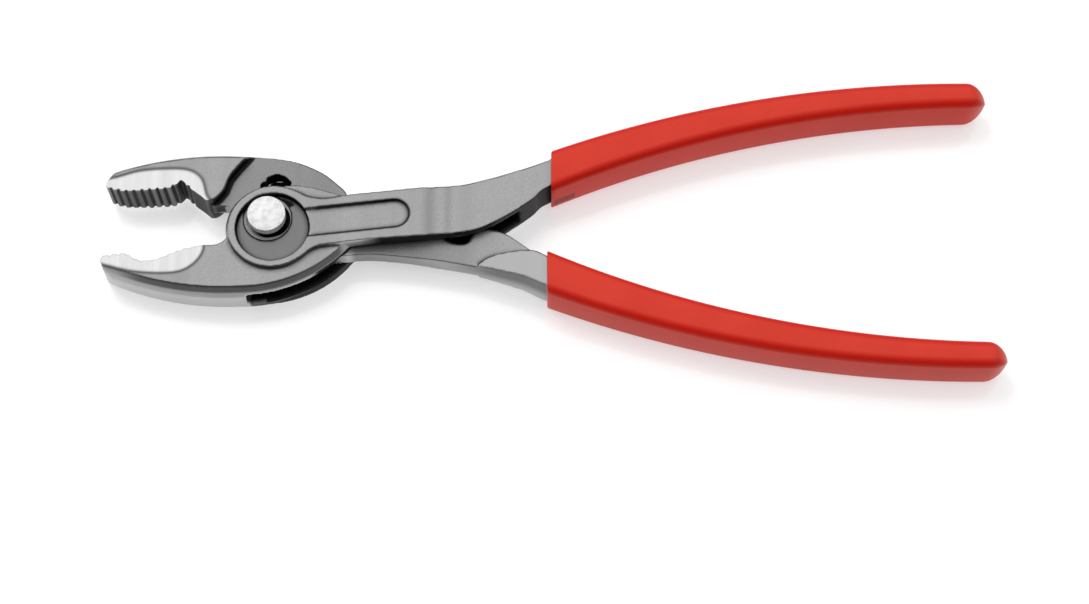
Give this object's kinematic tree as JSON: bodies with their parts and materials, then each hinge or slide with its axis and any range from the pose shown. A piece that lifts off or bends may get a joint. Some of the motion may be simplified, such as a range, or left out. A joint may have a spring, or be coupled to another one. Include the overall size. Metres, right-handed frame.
{
  "type": "push-button slip joint pliers",
  "caption": "Adjustable water-pump style pliers with a box joint, a push-button width setting, toothed front-gripping jaws and dipped red grips.",
  "frame": {"origin": "axis of the joint bolt, on the plane of the tool's flat back", "axes": "+Z along the bolt towards the push button, +X towards the handles, +Y towards the handle of the box lever"},
  "size_m": [0.2002, 0.0701, 0.0131],
  "materials": {
    "forged_steel": "grey phosphated, fine satin grain, jaw bites ground bright",
    "dark_steel": "dark oiled",
    "polished_steel": "bright, softly mottled",
    "spring_wire": "drawn wire",
    "red_dip": "satin dipped plastic"
  },
  "bodies": {
    "box": {"box_lever": "forged_steel", "upper_grip": "red_dip"},
    "bolt": {"joint_bolt": "dark_steel", "bolt_collar": "dark_steel"},
    "tongue": {"tongue_lever": "forged_steel", "lower_grip": "red_dip"},
    "button": {"push_button": "polished_steel", "stem_clip": "dark_steel", "button_spring": "spring_wire"}
  },
  "joints": [
    {"name": "jaw_pivot", "type": "hinge", "parent": "box", "child": "bolt", "pos_m": [0, 0, 0], "axis": [0, 0, 1], "range_deg": [-16, 7]},
    {"name": "slot_adjust", "type": "slide", "parent": "bolt", "child": "tongue", "axis": [-0.1805, -0.9836, 0], "range_m": [0, 0.0086]},
    {"name": "button_press", "type": "slide", "parent": "bolt", "child": "button", "axis": [0, 0, -1], "range_m": [0, 0.0015], "stiffness_N_per_m": 2000, "springref_m": -0.001, "deforming": ["button_spring"]}
  ]
}
